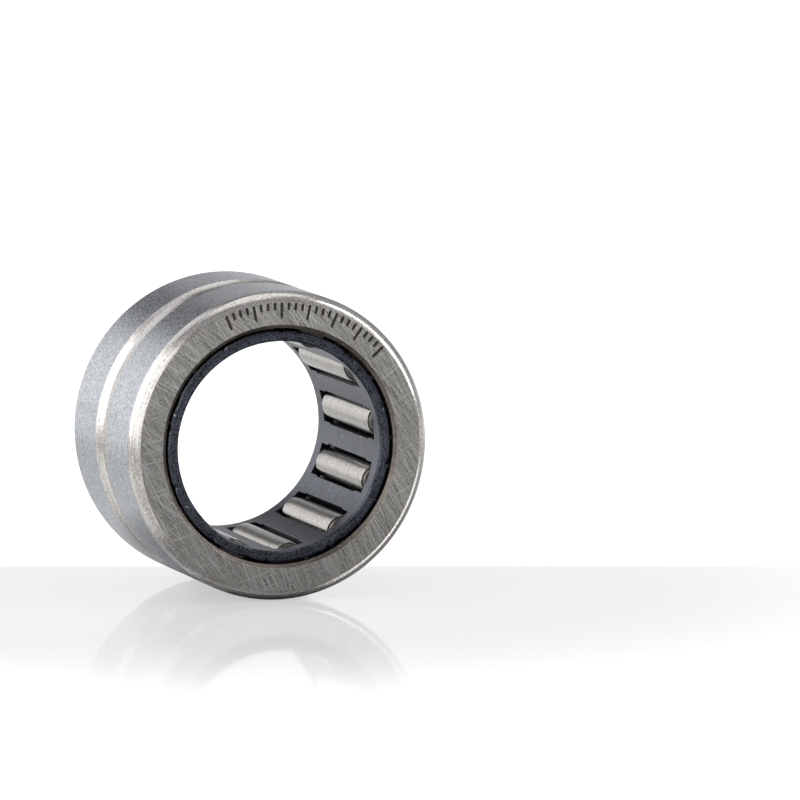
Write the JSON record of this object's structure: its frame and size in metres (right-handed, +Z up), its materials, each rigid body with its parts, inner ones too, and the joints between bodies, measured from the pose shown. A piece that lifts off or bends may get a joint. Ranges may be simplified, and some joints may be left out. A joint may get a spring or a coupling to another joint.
{
  "type": "needle roller bearing",
  "caption": "Machined needle roller bearing: grooved outer ring with two ribs, a windowed cage and needle rollers that run straight on the shaft, no inner ring.",
  "frame": {"origin": "centre of the bearing: on its axis, halfway along its width, with the bearing lying on its outer diameter", "axes": "+Y along the bearing's axis, from the front face towards the rear face; +Z up as the bearing lies on a surface; +X to the right seen from the front"},
  "size_m": [0.023, 0.016, 0.023],
  "materials": {
    "outer_ring": "satin",
    "cage": "satin",
    "needle": "polished"
  },
  "bodies": {
    "outer_ring": {"outer_ring": "outer_ring"},
    "cage": {"cage": "cage"},
    "needle_01": {"needle_01": "needle"},
    "needle_02": {"needle_02": "needle"},
    "needle_03": {"needle_03": "needle"},
    "needle_04": {"needle_04": "needle"},
    "needle_05": {"needle_05": "needle"},
    "needle_06": {"needle_06": "needle"},
    "needle_07": {"needle_07": "needle"},
    "needle_08": {"needle_08": "needle"},
    "needle_09": {"needle_09": "needle"},
    "needle_10": {"needle_10": "needle"},
    "needle_11": {"needle_11": "needle"},
    "needle_12": {"needle_12": "needle"}
  },
  "joints": [
    {"name": "cage_spin", "type": "hinge", "parent": "outer_ring", "child": "cage", "pos_m": [0, 0, 0], "axis": [0, 1, 0], "continuous": true},
    {"name": "needle_01_spin", "type": "hinge", "parent": "cage", "child": "needle_01", "pos_m": [0.00864, 0, 0.00135], "axis": [0, 1, 0], "continuous": true},
    {"name": "needle_02_spin", "type": "hinge", "parent": "cage", "child": "needle_02", "pos_m": [0.00681, 0, 0.00549], "axis": [0, 1, 0], "continuous": true},
    {"name": "needle_03_spin", "type": "hinge", "parent": "cage", "child": "needle_03", "pos_m": [0.00315, 0, 0.00816], "axis": [0, 1, 0], "continuous": true},
    {"name": "needle_04_spin", "type": "hinge", "parent": "cage", "child": "needle_04", "pos_m": [-0.00135, 0, 0.00864], "axis": [0, 1, 0], "continuous": true},
    {"name": "needle_05_spin", "type": "hinge", "parent": "cage", "child": "needle_05", "pos_m": [-0.00549, 0, 0.00681], "axis": [0, 1, 0], "continuous": true},
    {"name": "needle_06_spin", "type": "hinge", "parent": "cage", "child": "needle_06", "pos_m": [-0.00816, 0, 0.00315], "axis": [0, 1, 0], "continuous": true},
    {"name": "needle_07_spin", "type": "hinge", "parent": "cage", "child": "needle_07", "pos_m": [-0.00864, 0, -0.00135], "axis": [0, 1, 0], "continuous": true},
    {"name": "needle_08_spin", "type": "hinge", "parent": "cage", "child": "needle_08", "pos_m": [-0.00681, 0, -0.00549], "axis": [0, 1, 0], "continuous": true},
    {"name": "needle_09_spin", "type": "hinge", "parent": "cage", "child": "needle_09", "pos_m": [-0.00315, 0, -0.00816], "axis": [0, 1, 0], "continuous": true},
    {"name": "needle_10_spin", "type": "hinge", "parent": "cage", "child": "needle_10", "pos_m": [0.00135, 0, -0.00864], "axis": [0, 1, 0], "continuous": true},
    {"name": "needle_11_spin", "type": "hinge", "parent": "cage", "child": "needle_11", "pos_m": [0.00549, 0, -0.00681], "axis": [0, 1, 0], "continuous": true},
    {"name": "needle_12_spin", "type": "hinge", "parent": "cage", "child": "needle_12", "pos_m": [0.00816, 0, -0.00315], "axis": [0, 1, 0], "continuous": true}
  ],
  "couplings": [
    {"joint": "needle_01_spin", "follows": "cage_spin", "ratio": -8},
    {"joint": "needle_02_spin", "follows": "cage_spin", "ratio": -8},
    {"joint": "needle_03_spin", "follows": "cage_spin", "ratio": -8},
    {"joint": "needle_04_spin", "follows": "cage_spin", "ratio": -8},
    {"joint": "needle_05_spin", "follows": "cage_spin", "ratio": -8},
    {"joint": "needle_06_spin", "follows": "cage_spin", "ratio": -8},
    {"joint": "needle_07_spin", "follows": "cage_spin", "ratio": -8},
    {"joint": "needle_08_spin", "follows": "cage_spin", "ratio": -8},
    {"joint": "needle_09_spin", "follows": "cage_spin", "ratio": -8},
    {"joint": "needle_10_spin", "follows": "cage_spin", "ratio": -8},
    {"joint": "needle_11_spin", "follows": "cage_spin", "ratio": -8},
    {"joint": "needle_12_spin", "follows": "cage_spin", "ratio": -8}
  ]
}
